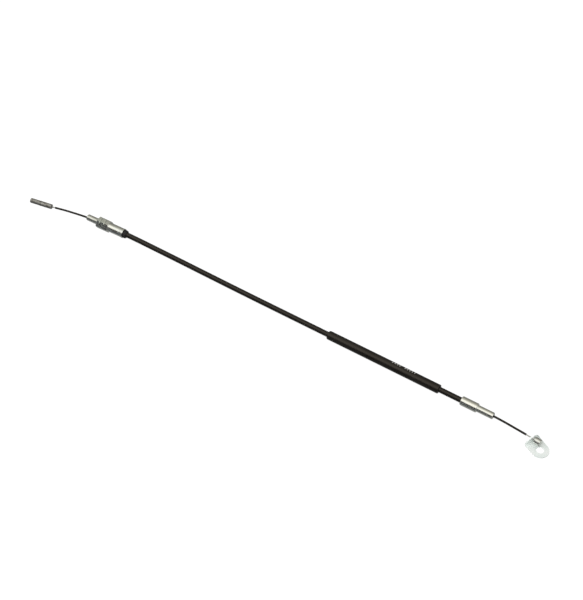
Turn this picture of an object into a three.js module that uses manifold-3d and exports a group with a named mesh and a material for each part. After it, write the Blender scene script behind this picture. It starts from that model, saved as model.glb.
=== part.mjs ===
// Brake switch cable: a pull cable that works a brake light switch, with a threaded adjuster
// at its front end and a slotted eyelet tab at its rear end. Millimetres, +Z up. The cable lies
// along X as it rests on a table, front end at -X, its centre over the origin.
import * as THREE from 'three';
import { mergeVertices } from 'three/addons/utils/BufferGeometryUtils.js';
import Module from 'manifold-3d';

const wasm = await Module();
wasm.setup();

// Driving dimensions. X stations count from the adjuster's mouth along the straight conduit.
const ROUND_SIDES = 36;
const TUBE_SIDES = 12;
const WIRE_SIDES = 8;
const SEAT_GAP = 0.3;

const WIRE_RADIUS = 0.55;
const COAT_BORE_RADIUS = 0.68;
const COAT_RADIUS = 0.84;
const LINER_BORE_RADIUS = 1.35;
const LINER_WALL = 0.15;
const COIL_WALL = 0.3;
const JACKET_WALL = 0.33;
const LAYER_GAP = 0.06;
const CONDUIT_FIT = 0.25;

const BARREL_LENGTH = 22.6;
const BARREL_RADIUS = 2.3;
const BARREL_YAW = THREE.MathUtils.degToRad(9.9);
const BARREL_CHAMFER = 0.35;
const WIRE_IN_BARREL = 10;
const END_BORE_RADIUS = 0.75;
const CRIMP_PLACES = [7.0, 11.6];
const CRIMP_TOOL_RADIUS = 2.2;
const CRIMP_DEPTH = 0.45;

const THREAD_RADIUS = 3;
const THREAD_REACH = 12.7;
const MOUTH_BORE_RADIUS = 1.5;
const MOUTH_CHAMFER = 0.6;
const HEX_ACROSS_FLATS = 10;
const HEX_BEVEL = 0.6;
const HEX_FACE_INSET = 0.1;
const OUTER_NUT_THICKNESS = 3.8;
const INNER_NUT_THICKNESS = 4.4;
const COLLAR_THICKNESS = 4.2;
const NUT_FIT = 0.3;
const BODY_LENGTH = 15.9;
const BODY_RADIUS = 4.2;
const BODY_RIM_LENGTH = 1.5;
const BODY_RIM_RADIUS = 4.4;
const SOCKET_DEPTH = 12;
const ADJUSTER_YAW = THREE.MathUtils.degToRad(1.9);
const BEND_BEHIND_SEAL = 4.9;

const SEAL_LENGTH = 3.2;
const SEAL_RADIUS = 3.8;
const SEAL_TAPER = 1.1;

const CONDUIT_SHOWN = 348;
const SLEEVE_TO_FERRULE = 20.9;
const SLEEVE_LENGTH = 108.6;
const SLEEVE_RADIUS = 3.75;
const SLEEVE_ROUNDING = 0.7;

const FERRULE_BIG_LENGTH = 15;
const FERRULE_BIG_RADIUS = 4;
const FERRULE_SMALL_LENGTH = 14.8;
const FERRULE_SMALL_RADIUS = 2.95;
const FERRULE_CHAMFER = 0.5;
const FERRULE_BORE_RADIUS = 1.6;

const TAB_THICKNESS = 1.2;
const TAB_WIDTH = 15;
const TAB_HOLE_RADIUS = 3.25;
const TAB_HOLE_REACH = 10.5;
const TAB_EAR_HEIGHT = 7.2;
const TAB_BEND_RADIUS = 0.8;
const TAB_SLOT_WIDTH = 2.2;
const TAB_YAW = THREE.MathUtils.degToRad(-26);
const NIPPLE_RADIUS = 2.9;
const NIPPLE_LENGTH = 5.4;
const NIPPLE_CHAMFER = 0.35;
const NIPPLE_WALL = 1.2;

// Heights of the axes above the table: the hexagon, the ferrule, the barrel and the nipple
// each rest on what lies under them.
const ADJUSTER_HEIGHT = HEX_ACROSS_FLATS / 2;
const CONDUIT_HEIGHT = FERRULE_BIG_RADIUS;
const BARREL_HEIGHT = BARREL_RADIUS;
const NIPPLE_HEIGHT = TAB_THICKNESS + SEAT_GAP + NIPPLE_RADIUS;

// Radii of the conduit's nested layers, from the liner's bore outwards.
const LINER_RADIUS = LINER_BORE_RADIUS + LINER_WALL;
const COIL_BORE_RADIUS = LINER_RADIUS + LAYER_GAP;
const COIL_RADIUS = COIL_BORE_RADIUS + COIL_WALL;
const JACKET_BORE_RADIUS = COIL_RADIUS + LAYER_GAP;
const CONDUIT_RADIUS = JACKET_BORE_RADIUS + JACKET_WALL;
const SOCKET_RADIUS = CONDUIT_RADIUS + CONDUIT_FIT;

// Stations along the adjuster, from its mouth backwards.
const OUTER_NUT_X = THREAD_REACH;
const INNER_NUT_X = OUTER_NUT_X + OUTER_NUT_THICKNESS + SEAT_GAP;
const COLLAR_X = INNER_NUT_X + INNER_NUT_THICKNESS + SEAT_GAP;
const BODY_X = COLLAR_X + COLLAR_THICKNESS;
const BODY_END_X = BODY_X + BODY_LENGTH;
const SOCKET_FLOOR_X = BODY_END_X - SOCKET_DEPTH;
const SEAL_X = BODY_END_X + SEAT_GAP;
const SEAL_END_X = SEAL_X + SEAL_LENGTH;
const ADJUSTER_BEND_X = SEAL_END_X + BEND_BEHIND_SEAL;
const FERRULE_START_X = SEAL_END_X + CONDUIT_SHOWN;
const SLEEVE_END_X = FERRULE_START_X - SLEEVE_TO_FERRULE;
const SLEEVE_START_X = SLEEVE_END_X - SLEEVE_LENGTH;
const FERRULE_STEP_X = FERRULE_START_X + FERRULE_BIG_LENGTH;
const FERRULE_END_X = FERRULE_STEP_X + FERRULE_SMALL_LENGTH;
const CONDUIT_START_X = SOCKET_FLOOR_X + SEAT_GAP;
const CONDUIT_END_X = FERRULE_START_X + SOCKET_DEPTH - SEAT_GAP;

// The wire's free ends sag from the adjuster to the barrel and rise from the ferrule to the nipple.
// A point there says how far it lies past the mouth, how far aside, and its share of the fall or rise.
function frontPoint(past, aside, fall) {
  const height = ADJUSTER_HEIGHT + fall * (BARREL_HEIGHT - ADJUSTER_HEIGHT);
  return new THREE.Vector3(-past, -aside, height);
}

function rearPoint(past, aside, rise) {
  const height = CONDUIT_HEIGHT + rise * (NIPPLE_HEIGHT - CONDUIT_HEIGHT);
  return new THREE.Vector3(FERRULE_END_X + past, -aside, height);
}

const BARREL_MOUTH = frontPoint(38.9, 7.5, 1);
const EAR_PLACE = rearPoint(36.9, 3, 1);
const NIPPLE_STANDOFF = TAB_THICKNESS / 2 + SEAT_GAP + NIPPLE_RADIUS * Math.tan(Math.abs(TAB_YAW) * 0.8);

function adjusterAxisPoint(x) {
  return new THREE.Vector3(x, (x - ADJUSTER_BEND_X) * Math.tan(ADJUSTER_YAW), ADJUSTER_HEIGHT);
}

function conduitPoint(x, rise) {
  const height = CONDUIT_HEIGHT + rise * (ADJUSTER_HEIGHT - CONDUIT_HEIGHT);
  return new THREE.Vector3(x, 0, height);
}

// The conduit leaves the adjuster level, eases down to the table and runs straight to the ferrule.
const EASE_DOWN = [
  conduitPoint(58, 1),
  conduitPoint(75, 0.97),
  conduitPoint(100, 0.82),
  conduitPoint(130, 0.5),
  conduitPoint(160, 0.18),
  conduitPoint(185, 0.03),
  conduitPoint(205, 0),
  conduitPoint(FERRULE_START_X - 133, 0),
  conduitPoint(FERRULE_START_X - 63, 0),
  conduitPoint(FERRULE_START_X - 13, 0),
];

const conduitRoute = new THREE.CatmullRomCurve3([
  adjusterAxisPoint(CONDUIT_START_X),
  adjusterAxisPoint(CONDUIT_START_X + 6),
  adjusterAxisPoint(BODY_END_X),
  adjusterAxisPoint(SEAL_END_X + 1),
  ...EASE_DOWN,
  conduitPoint(CONDUIT_END_X, 0),
]);

const barrelAxis = new THREE.Vector3(Math.cos(BARREL_YAW), Math.sin(BARREL_YAW), 0);

function wirePointInBarrel(depth) {
  return BARREL_MOUTH.clone().addScaledVector(barrelAxis, -depth);
}

const BARE_FRONT_END = frontPoint(35.4, 6.8, 0.97);
const BARE_REAR_START = rearPoint(30.7, 2.35, 1);
const coatRoute = new THREE.CatmullRomCurve3([
  BARE_FRONT_END,
  frontPoint(30, 5.75, 0.87),
  frontPoint(24, 4.75, 0.72),
  frontPoint(17, 3.85, 0.54),
  frontPoint(10, 3.1, 0.33),
  frontPoint(4, 2.5, 0.17),
  frontPoint(-3, 2, 0.06),
  frontPoint(-10, 1.5, 0.01),
  adjusterAxisPoint(20),
  adjusterAxisPoint(CONDUIT_START_X + 6),
  adjusterAxisPoint(SEAL_END_X + 1),
  ...EASE_DOWN,
  rearPoint(-18, 0, 0),
  rearPoint(-6, 0, 0),
  rearPoint(2, 0.12, 0.12),
  rearPoint(10, 0.55, 0.33),
  rearPoint(20, 1.4, 0.62),
  BARE_REAR_START,
]);

const wireEndAxis = EAR_PLACE.clone().sub(BARE_REAR_START).normalize();
const WIRE_IN_NIPPLE = NIPPLE_LENGTH - NIPPLE_WALL - SEAT_GAP;
const wireRoute = new THREE.CatmullRomCurve3([
  wirePointInBarrel(WIRE_IN_BARREL),
  wirePointInBarrel(WIRE_IN_BARREL / 2),
  wirePointInBarrel(0),
  ...coatRoute.points,
  EAR_PLACE,
  EAR_PLACE.clone().addScaledVector(wireEndAxis, NIPPLE_STANDOFF + WIRE_IN_NIPPLE),
]);

const finishes = {
  zinc: { color: 0x8d8c84, roughness: 0.45, metalness: 0.9 },
  steel: { color: 0xb9b8b2, roughness: 0.25, metalness: 1 },
  platedSteel: { color: 0xc4c8c2, roughness: 0.2, metalness: 1 },
  platedTab: { color: 0xdfe9e2, roughness: 0.3, metalness: 0.9 },
  blackVinyl: { color: 0x1c1a19, roughness: 0.42, metalness: 0 },
  blackRubber: { color: 0x0c0b0b, roughness: 0.7, metalness: 0 },
  springSteel: { color: 0x77767a, roughness: 0.4, metalness: 1 },
  liner: { color: 0xe6e3d8, roughness: 0.5, metalness: 0 },
};

function namedMesh(name, geometry, finish) {
  const mesh = new THREE.Mesh(geometry, new THREE.MeshStandardMaterial(finishes[finish]));
  mesh.name = name;
  return mesh;
}

// A closed solid turned about the X axis from [x, radius] corners, given in order round the section.
function turned(corners, sides = ROUND_SIDES) {
  const section = corners.map(([x, radius]) => new THREE.Vector2(radius, x));
  const onAxis = corners[0][1] === 0;
  if (!onAxis) {
    section.push(section[0].clone());
  }
  const geometry = new THREE.LatheGeometry(section, sides);
  geometry.rotateZ(-Math.PI / 2);
  return geometry;
}

function toManifold(geometry) {
  const bare = new THREE.BufferGeometry();
  bare.setAttribute('position', geometry.getAttribute('position').clone());
  if (geometry.index) {
    bare.setIndex(geometry.index.clone());
  }
  const merged = mergeVertices(bare, 1e-5);
  const mesh = new wasm.Mesh({
    numProp: 3,
    vertProperties: new Float32Array(merged.getAttribute('position').array),
    triVerts: new Uint32Array(merged.index.array),
  });
  return new wasm.Manifold(mesh);
}

function toGeometry(solid) {
  const mesh = solid.getMesh();
  const geometry = new THREE.BufferGeometry();
  geometry.setAttribute('position', new THREE.BufferAttribute(new Float32Array(mesh.vertProperties), 3));
  geometry.setIndex(new THREE.BufferAttribute(new Uint32Array(mesh.triVerts), 1));
  return geometry;
}

function circlePoints(radius, sides) {
  const turn = (2 * Math.PI) / sides;
  return Array.from({ length: sides }, (_, i) => {
    return new THREE.Vector2(radius * Math.cos(i * turn), radius * Math.sin(i * turn));
  });
}

// A round tube or rod swept along a route; a bore of zero makes a rod.
function swept(route, radius, boreRadius, sides, steps) {
  const section = new THREE.Shape(circlePoints(radius, sides));
  if (boreRadius > 0) {
    section.holes.push(new THREE.Path(circlePoints(boreRadius, sides)));
  }
  return new THREE.ExtrudeGeometry(section, { extrudePath: route, steps, bevelEnabled: false });
}

// A hexagonal prism along X with a flat underneath, its corners turned off by a bevel at both ends.
function hexBlank(startX, thickness) {
  const cornerRadius = HEX_ACROSS_FLATS / Math.sqrt(3);
  const flat = new THREE.Shape(circlePoints(cornerRadius, 6));
  const prism = new THREE.ExtrudeGeometry(flat, { depth: thickness, bevelEnabled: false });
  prism.rotateZ(Math.PI / 2);
  prism.rotateY(Math.PI / 2);
  prism.translate(startX, 0, 0);
  const faceRadius = HEX_ACROSS_FLATS / 2 - HEX_FACE_INSET;
  const clearRadius = cornerRadius + HEX_FACE_INSET;
  const bevelled = turned([
    [startX, 0],
    [startX, faceRadius],
    [startX + HEX_BEVEL, clearRadius],
    [startX + thickness - HEX_BEVEL, clearRadius],
    [startX + thickness, faceRadius],
    [startX + thickness, 0],
  ]);
  return toManifold(prism).intersect(toManifold(bevelled));
}

function bore(startX, endX, radius) {
  return toManifold(turned([[startX, 0], [startX, radius], [endX, radius], [endX, 0]]));
}

function crimpBarrel() {
  const end = BARREL_LENGTH;
  const blank = toManifold(turned([
    [0, 0],
    [0, BARREL_RADIUS - BARREL_CHAMFER],
    [BARREL_CHAMFER, BARREL_RADIUS],
    [end - BARREL_CHAMFER, BARREL_RADIUS],
    [end, BARREL_RADIUS - BARREL_CHAMFER],
    [end, 0],
  ]));
  const boreStart = end - WIRE_IN_BARREL - SEAT_GAP;
  let solid = blank.subtract(bore(boreStart, end + 1, END_BORE_RADIUS));
  for (const place of CRIMP_PLACES) {
    for (const side of [-1, 1]) {
      const dent = new THREE.CylinderGeometry(CRIMP_TOOL_RADIUS, CRIMP_TOOL_RADIUS, 4 * BARREL_RADIUS, 24);
      const height = side * (BARREL_RADIUS + CRIMP_TOOL_RADIUS - CRIMP_DEPTH);
      dent.translate(end - place, 0, height);
      solid = solid.subtract(toManifold(dent));
    }
  }
  const barrel = namedMesh('crimp_barrel', toGeometry(solid), 'zinc');
  const tip = wirePointInBarrel(BARREL_LENGTH);
  barrel.position.copy(tip);
  barrel.rotation.z = BARREL_YAW;
  return barrel;
}

function adjusterBody() {
  const threaded = [
    [0, 0],
    [0, THREAD_RADIUS - MOUTH_CHAMFER],
    [MOUTH_CHAMFER, THREAD_RADIUS],
    [COLLAR_X + 1, THREAD_RADIUS],
    [COLLAR_X + 1, 0],
  ];
  const rimStart = BODY_END_X - BODY_RIM_LENGTH;
  const shell = [
    [BODY_X - 1, 0],
    [BODY_X - 1, BODY_RADIUS],
    [rimStart, BODY_RADIUS],
    [rimStart + 0.2, BODY_RIM_RADIUS],
    [BODY_END_X - 0.3, BODY_RIM_RADIUS],
    [BODY_END_X, BODY_RIM_RADIUS - 0.3],
    [BODY_END_X, 0],
  ];
  const solid = toManifold(turned(threaded))
    .add(hexBlank(COLLAR_X, COLLAR_THICKNESS))
    .add(toManifold(turned(shell)))
    .subtract(bore(-1, SOCKET_FLOOR_X + 1, MOUTH_BORE_RADIUS))
    .subtract(bore(SOCKET_FLOOR_X, BODY_END_X + 1, SOCKET_RADIUS));
  return namedMesh('adjuster_body', toGeometry(solid), 'platedSteel');
}

function hexNut(name, startX, thickness) {
  const threadBore = THREAD_RADIUS + NUT_FIT;
  const countersink = 0.5;
  const endX = startX + thickness;
  const hollow = toManifold(turned([
    [startX - 1, 0],
    [startX - 1, threadBore + countersink],
    [startX, threadBore + countersink],
    [startX + countersink, threadBore],
    [endX - countersink, threadBore],
    [endX, threadBore + countersink],
    [endX + 1, threadBore + countersink],
    [endX + 1, 0],
  ]));
  return namedMesh(name, toGeometry(hexBlank(startX, thickness).subtract(hollow)), 'platedSteel');
}

function conduitSeal() {
  const lip = SOCKET_RADIUS + 0.35;
  return namedMesh('conduit_seal', turned([
    [SEAL_X, SOCKET_RADIUS],
    [SEAL_X, SEAL_RADIUS - 0.25],
    [SEAL_X + 0.3, SEAL_RADIUS],
    [SEAL_END_X - SEAL_TAPER, SEAL_RADIUS],
    [SEAL_END_X, lip],
    [SEAL_END_X, SOCKET_RADIUS],
  ]), 'blackRubber');
}

function sleeve() {
  const rounded = [];
  for (const turn of [0, 30, 60, 90]) {
    const angle = THREE.MathUtils.degToRad(turn);
    rounded.push([SLEEVE_ROUNDING * (1 - Math.sin(angle)), SLEEVE_ROUNDING * (1 - Math.cos(angle))]);
  }
  const front = rounded.map(([x, inset]) => [SLEEVE_START_X + x, SLEEVE_RADIUS - inset]).reverse();
  const rear = rounded.map(([x, inset]) => [SLEEVE_END_X - x, SLEEVE_RADIUS - inset]);
  const mesh = namedMesh('protective_sleeve', turned([
    [SLEEVE_START_X, SOCKET_RADIUS],
    ...front,
    ...rear,
    [SLEEVE_END_X, SOCKET_RADIUS],
  ], 24), 'blackVinyl');
  mesh.position.z = CONDUIT_HEIGHT;
  return mesh;
}

function rearFerrule() {
  const socketFloor = FERRULE_START_X + SOCKET_DEPTH;
  const mesh = namedMesh('rear_ferrule', turned([
    [FERRULE_START_X, SOCKET_RADIUS],
    [FERRULE_START_X, FERRULE_BIG_RADIUS - FERRULE_CHAMFER],
    [FERRULE_START_X + FERRULE_CHAMFER, FERRULE_BIG_RADIUS],
    [FERRULE_STEP_X - FERRULE_CHAMFER, FERRULE_BIG_RADIUS],
    [FERRULE_STEP_X, FERRULE_BIG_RADIUS - FERRULE_CHAMFER],
    [FERRULE_STEP_X, FERRULE_SMALL_RADIUS],
    [FERRULE_END_X - FERRULE_CHAMFER, FERRULE_SMALL_RADIUS],
    [FERRULE_END_X, FERRULE_SMALL_RADIUS - FERRULE_CHAMFER],
    [FERRULE_END_X, FERRULE_BORE_RADIUS],
    [socketFloor, FERRULE_BORE_RADIUS],
    [socketFloor, SOCKET_RADIUS],
  ]), 'platedSteel');
  mesh.position.z = CONDUIT_HEIGHT;
  return mesh;
}

function rearNipple() {
  const boreEnd = NIPPLE_LENGTH - NIPPLE_WALL;
  const mesh = namedMesh('rear_nipple', turned([
    [boreEnd, 0],
    [boreEnd, END_BORE_RADIUS],
    [0, END_BORE_RADIUS],
    [0, NIPPLE_RADIUS - NIPPLE_CHAMFER],
    [NIPPLE_CHAMFER, NIPPLE_RADIUS],
    [NIPPLE_LENGTH - NIPPLE_CHAMFER, NIPPLE_RADIUS],
    [NIPPLE_LENGTH, NIPPLE_RADIUS - NIPPLE_CHAMFER],
    [NIPPLE_LENGTH, 0],
  ], 28), 'zinc');
  mesh.position.copy(EAR_PLACE).addScaledVector(wireEndAxis, NIPPLE_STANDOFF);
  mesh.rotation.z = Math.atan2(wireEndAxis.y, wireEndAxis.x);
  return mesh;
}

// The tab is one strip folded up at a right angle: X runs from the ear to the eye, and the
// ear's middle plane stands at zero.
function eyeletTab() {
  const half = TAB_THICKNESS / 2;
  const outerBend = TAB_BEND_RADIUS + TAB_THICKNESS;
  const tipX = TAB_HOLE_REACH + TAB_WIDTH / 2;
  const folded = new THREE.Shape();
  folded.moveTo(tipX, 0);
  folded.lineTo(tipX, TAB_THICKNESS);
  folded.lineTo(half + TAB_BEND_RADIUS, TAB_THICKNESS);
  folded.absarc(half + TAB_BEND_RADIUS, outerBend, TAB_BEND_RADIUS, -Math.PI / 2, -Math.PI, true);
  folded.lineTo(half, TAB_EAR_HEIGHT);
  folded.lineTo(-half, TAB_EAR_HEIGHT);
  folded.lineTo(-half, outerBend);
  folded.absarc(outerBend - half, outerBend, outerBend, Math.PI, 1.5 * Math.PI, false);
  const strip = new THREE.ExtrudeGeometry(folded, {
    depth: TAB_WIDTH + 2,
    curveSegments: 6,
    bevelEnabled: false,
  });
  strip.translate(0, 0, -TAB_WIDTH / 2 - 1);
  strip.rotateX(Math.PI / 2);

  const plan = new THREE.Shape();
  plan.moveTo(-5, -TAB_WIDTH / 2);
  plan.lineTo(TAB_HOLE_REACH, -TAB_WIDTH / 2);
  plan.absarc(TAB_HOLE_REACH, 0, TAB_WIDTH / 2, -Math.PI / 2, Math.PI / 2, false);
  plan.lineTo(-5, TAB_WIDTH / 2);
  const eye = new THREE.Path();
  eye.absarc(TAB_HOLE_REACH, 0, TAB_HOLE_RADIUS, 0, 2 * Math.PI, true);
  plan.holes.push(eye);
  const planPrism = new THREE.ExtrudeGeometry(plan, { depth: 20, curveSegments: 20, bevelEnabled: false });
  planPrism.translate(0, 0, -5);

  const front = new THREE.Shape();
  front.absarc(0, TAB_EAR_HEIGHT - TAB_WIDTH / 2, TAB_WIDTH / 2, 0, Math.PI, false);
  front.lineTo(-TAB_WIDTH / 2, -2);
  front.lineTo(TAB_WIDTH / 2, -2);
  const frontPrism = new THREE.ExtrudeGeometry(front, { depth: 40, curveSegments: 20, bevelEnabled: false });
  frontPrism.translate(0, 0, -5);
  frontPrism.rotateX(Math.PI / 2);
  frontPrism.rotateZ(Math.PI / 2);

  const slot = new THREE.Shape();
  slot.moveTo(TAB_SLOT_WIDTH / 2, NIPPLE_HEIGHT);
  slot.lineTo(TAB_SLOT_WIDTH / 2, TAB_EAR_HEIGHT + 1);
  slot.lineTo(-TAB_SLOT_WIDTH / 2, TAB_EAR_HEIGHT + 1);
  slot.lineTo(-TAB_SLOT_WIDTH / 2, NIPPLE_HEIGHT);
  slot.absarc(0, NIPPLE_HEIGHT, TAB_SLOT_WIDTH / 2, Math.PI, 2 * Math.PI, false);
  const slotPrism = new THREE.ExtrudeGeometry(slot, { depth: 4, curveSegments: 8, bevelEnabled: false });
  slotPrism.translate(0, 0, -2);
  slotPrism.rotateX(Math.PI / 2);
  slotPrism.rotateZ(Math.PI / 2);

  const solid = toManifold(strip)
    .intersect(toManifold(planPrism))
    .intersect(toManifold(frontPrism))
    .subtract(toManifold(slotPrism));
  const mesh = namedMesh('eyelet_tab', toGeometry(solid), 'platedTab');
  mesh.position.set(EAR_PLACE.x, EAR_PLACE.y, 0);
  mesh.rotation.z = TAB_YAW;
  return mesh;
}

// The adjuster's pieces are turned about one axis, which meets the conduit at a slight angle.
const adjuster = new THREE.Group();
adjuster.add(adjusterBody());
adjuster.add(hexNut('outer_nut', OUTER_NUT_X, OUTER_NUT_THICKNESS));
adjuster.add(hexNut('inner_nut', INNER_NUT_X, INNER_NUT_THICKNESS));
adjuster.add(conduitSeal());
adjuster.rotation.z = ADJUSTER_YAW;
adjuster.position.copy(adjusterAxisPoint(0));

const conduit = new THREE.Group();
conduit.add(namedMesh(
  'conduit_jacket',
  swept(conduitRoute, CONDUIT_RADIUS, JACKET_BORE_RADIUS, TUBE_SIDES, 36),
  'blackVinyl',
));
conduit.add(namedMesh(
  'conduit_coil',
  swept(conduitRoute, COIL_RADIUS, COIL_BORE_RADIUS, TUBE_SIDES, 36),
  'springSteel',
));
conduit.add(namedMesh(
  'conduit_liner',
  swept(conduitRoute, LINER_RADIUS, LINER_BORE_RADIUS, TUBE_SIDES, 36),
  'liner',
));
conduit.add(sleeve());
conduit.add(rearFerrule());

const pullWire = new THREE.Group();
pullWire.add(crimpBarrel());
pullWire.add(namedMesh('inner_wire', swept(wireRoute, WIRE_RADIUS, 0, WIRE_SIDES, 76), 'steel'));
pullWire.add(namedMesh(
  'wire_coat',
  swept(coatRoute, COAT_RADIUS, COAT_BORE_RADIUS, WIRE_SIDES, 70),
  'blackVinyl',
));
pullWire.add(rearNipple());

const cable = new THREE.Group();
cable.add(adjuster, conduit, pullWire, eyeletTab());

// The origin goes under the middle of the whole cable.
const bounds = new THREE.Box3().setFromObject(cable, true);
const middle = bounds.getCenter(new THREE.Vector3());
cable.position.set(-middle.x, -middle.y, 0);

export default cable;
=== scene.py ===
"""Looks of a brake switch cable: a black conduit with a threaded adjuster at its front end,
a stepped ferrule at its rear end, and a coated pull wire with a crimped barrel and an eyelet tab."""
import math

import bmesh
import bpy
import numpy as np
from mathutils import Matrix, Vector


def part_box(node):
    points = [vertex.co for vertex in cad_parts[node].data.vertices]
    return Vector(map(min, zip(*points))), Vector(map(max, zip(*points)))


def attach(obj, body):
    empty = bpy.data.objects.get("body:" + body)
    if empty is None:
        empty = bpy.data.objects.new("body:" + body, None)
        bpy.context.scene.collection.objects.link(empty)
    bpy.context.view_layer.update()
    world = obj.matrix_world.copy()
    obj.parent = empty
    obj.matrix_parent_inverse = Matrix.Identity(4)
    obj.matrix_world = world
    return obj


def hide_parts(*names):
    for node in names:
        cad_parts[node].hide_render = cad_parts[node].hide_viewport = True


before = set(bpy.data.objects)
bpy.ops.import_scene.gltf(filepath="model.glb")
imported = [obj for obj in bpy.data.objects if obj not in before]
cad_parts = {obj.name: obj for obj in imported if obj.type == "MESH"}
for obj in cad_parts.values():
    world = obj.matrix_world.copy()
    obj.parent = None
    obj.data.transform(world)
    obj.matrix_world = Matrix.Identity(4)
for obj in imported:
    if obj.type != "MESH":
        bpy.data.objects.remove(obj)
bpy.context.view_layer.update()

# The camera looks down on the cable from its front right side, with a long lens, so that the
# cable runs from the picture's upper left to its lower right.
camera_settings = bpy.data.cameras.new("photo_camera")
camera_settings.lens = 81.84
camera_settings.sensor_width = 36
camera = bpy.data.objects.new("photo_camera", camera_settings)
bpy.context.scene.collection.objects.link(camera)
bpy.context.scene.camera = camera
camera_azimuth = math.radians(33.29)
camera_elevation = math.radians(47.96)
camera_distance = 1.2
camera_target = Vector((0.0071, 0.0213, 0.004))
towards_camera = Vector((
    math.sin(camera_azimuth) * math.cos(camera_elevation),
    -math.cos(camera_azimuth) * math.cos(camera_elevation),
    math.sin(camera_elevation),
))
camera.location = camera_target + camera_distance * towards_camera
camera.rotation_mode = "QUATERNION"
camera.rotation_quaternion = (-towards_camera).to_track_quat("-Z", "Y")


# The studio is a white floor under a tent of cloth panels: a dark one low in front, a bright one
# above it, and grey ones overhead and behind. Two glowing cards lie on the floor as painted shade:
# a dark one in front of the cable, which paints a dark reflection low on the metal, and a grey one
# under and behind it, which paints the floor's shadow as reflections see it. The panels and cards
# show only in what is glossy.
def seen_directly(tree):
    """A value that is 1 where the camera, a reflection or something clear looks at a surface."""
    path = tree.nodes.new("ShaderNodeLightPath")
    either = tree.nodes.new("ShaderNodeMath")
    either.operation = "MAXIMUM"
    tree.links.new(path.outputs["Is Camera Ray"], either.inputs[0])
    tree.links.new(path.outputs["Is Glossy Ray"], either.inputs[1])
    any_of_three = tree.nodes.new("ShaderNodeMath")
    any_of_three.operation = "MAXIMUM"
    tree.links.new(either.outputs[0], any_of_three.inputs[0])
    tree.links.new(path.outputs["Is Transmission Ray"], any_of_three.inputs[1])
    return any_of_three.outputs[0]


bpy.context.scene.view_settings.view_transform = "Standard"
studio_world = bpy.data.worlds.new("studio_world")
bpy.context.scene.world = studio_world
studio_world.use_nodes = True
world_tree = studio_world.node_tree
soft_light = world_tree.nodes["Background"]
soft_light.inputs["Color"].default_value = (1, 1, 1, 1)
soft_light.inputs["Strength"].default_value = 0.55
white_backdrop = world_tree.nodes.new("ShaderNodeBackground")
white_backdrop.inputs["Color"].default_value = (1, 1, 1, 1)
white_backdrop.inputs["Strength"].default_value = 1
world_mix = world_tree.nodes.new("ShaderNodeMixShader")
world_tree.links.new(seen_directly(world_tree), world_mix.inputs["Fac"])
world_tree.links.new(soft_light.outputs[0], world_mix.inputs[1])
world_tree.links.new(white_backdrop.outputs[0], world_mix.inputs[2])
world_tree.links.new(world_mix.outputs[0], world_tree.nodes["World Output"].inputs["Surface"])

floor_reach = 4
floor_mesh = bpy.data.meshes.new("studio_floor")
floor_mesh.from_pydata([
    (-floor_reach, -floor_reach, 0),
    (floor_reach, -floor_reach, 0),
    (floor_reach, floor_reach, 0),
    (-floor_reach, floor_reach, 0),
], [], [(0, 1, 2, 3)])
floor = bpy.data.objects.new("studio_floor", floor_mesh)
bpy.context.scene.collection.objects.link(floor)
floor_paint = bpy.data.materials.new("white_floor")
floor_paint.use_nodes = True
floor_mesh.materials.append(floor_paint)
floor_tree = floor_paint.node_tree
floor_shader = floor_tree.nodes["Principled BSDF"]
floor_shader.inputs["Base Color"].default_value = (0.93, 0.93, 0.93, 1)
floor_shader.inputs["Roughness"].default_value = 0.9
floor_shader.inputs["Specular IOR Level"].default_value = 0.1
floor_glow = floor_tree.nodes.new("ShaderNodeEmission")
floor_glow.inputs["Color"].default_value = (1, 1, 1, 1)
floor_glow.inputs["Strength"].default_value = 1.1
shadow_kept = 0.15
floor_share = floor_tree.nodes.new("ShaderNodeMath")
floor_share.operation = "MULTIPLY"
floor_share.inputs[1].default_value = 1 - shadow_kept
floor_tree.links.new(seen_directly(floor_tree), floor_share.inputs[0])
floor_mix = floor_tree.nodes.new("ShaderNodeMixShader")
floor_tree.links.new(floor_share.outputs[0], floor_mix.inputs["Fac"])
floor_tree.links.new(floor_shader.outputs[0], floor_mix.inputs[1])
floor_tree.links.new(floor_glow.outputs[0], floor_mix.inputs[2])
floor_tree.links.new(floor_mix.outputs[0], floor_tree.nodes["Material Output"].inputs["Surface"])

tent_radius = 2.2
tent_reach = 4
tent_steps = 90
tent_corners = []
for step in range(tent_steps + 1):
    tent_angle = math.pi * step / tent_steps
    for end in (-tent_reach, tent_reach):
        tent_corners.append((end, -tent_radius * math.cos(tent_angle), tent_radius * math.sin(tent_angle)))
tent_faces = [(2 * i, 2 * i + 1, 2 * i + 3, 2 * i + 2) for i in range(tent_steps)]
tent_mesh = bpy.data.meshes.new("studio_tent")
tent_mesh.from_pydata(tent_corners, [], tent_faces)
tent = bpy.data.objects.new("studio_tent", tent_mesh)
bpy.context.scene.collection.objects.link(tent)
tent.visible_camera = False
tent.visible_diffuse = False
tent.visible_shadow = False
tent_cloth = bpy.data.materials.new("tent_panels")
tent_cloth.use_nodes = True
tent_mesh.materials.append(tent_cloth)
tent_tree = tent_cloth.node_tree
tent_tree.nodes.remove(tent_tree.nodes["Principled BSDF"])
tent_place = tent_tree.nodes.new("ShaderNodeTexCoord")
tent_axes = tent_tree.nodes.new("ShaderNodeSeparateXYZ")
tent_tree.links.new(tent_place.outputs["Object"], tent_axes.inputs[0])
tent_front = tent_tree.nodes.new("ShaderNodeMath")
tent_front.operation = "MULTIPLY"
tent_front.inputs[1].default_value = -1
tent_tree.links.new(tent_axes.outputs["Y"], tent_front.inputs[0])
tent_turn = tent_tree.nodes.new("ShaderNodeMath")
tent_turn.operation = "ARCTAN2"
tent_tree.links.new(tent_axes.outputs["Z"], tent_turn.inputs[0])
tent_tree.links.new(tent_front.outputs[0], tent_turn.inputs[1])
tent_half_turn = tent_tree.nodes.new("ShaderNodeMath")
tent_half_turn.operation = "DIVIDE"
tent_half_turn.inputs[1].default_value = math.pi
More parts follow.
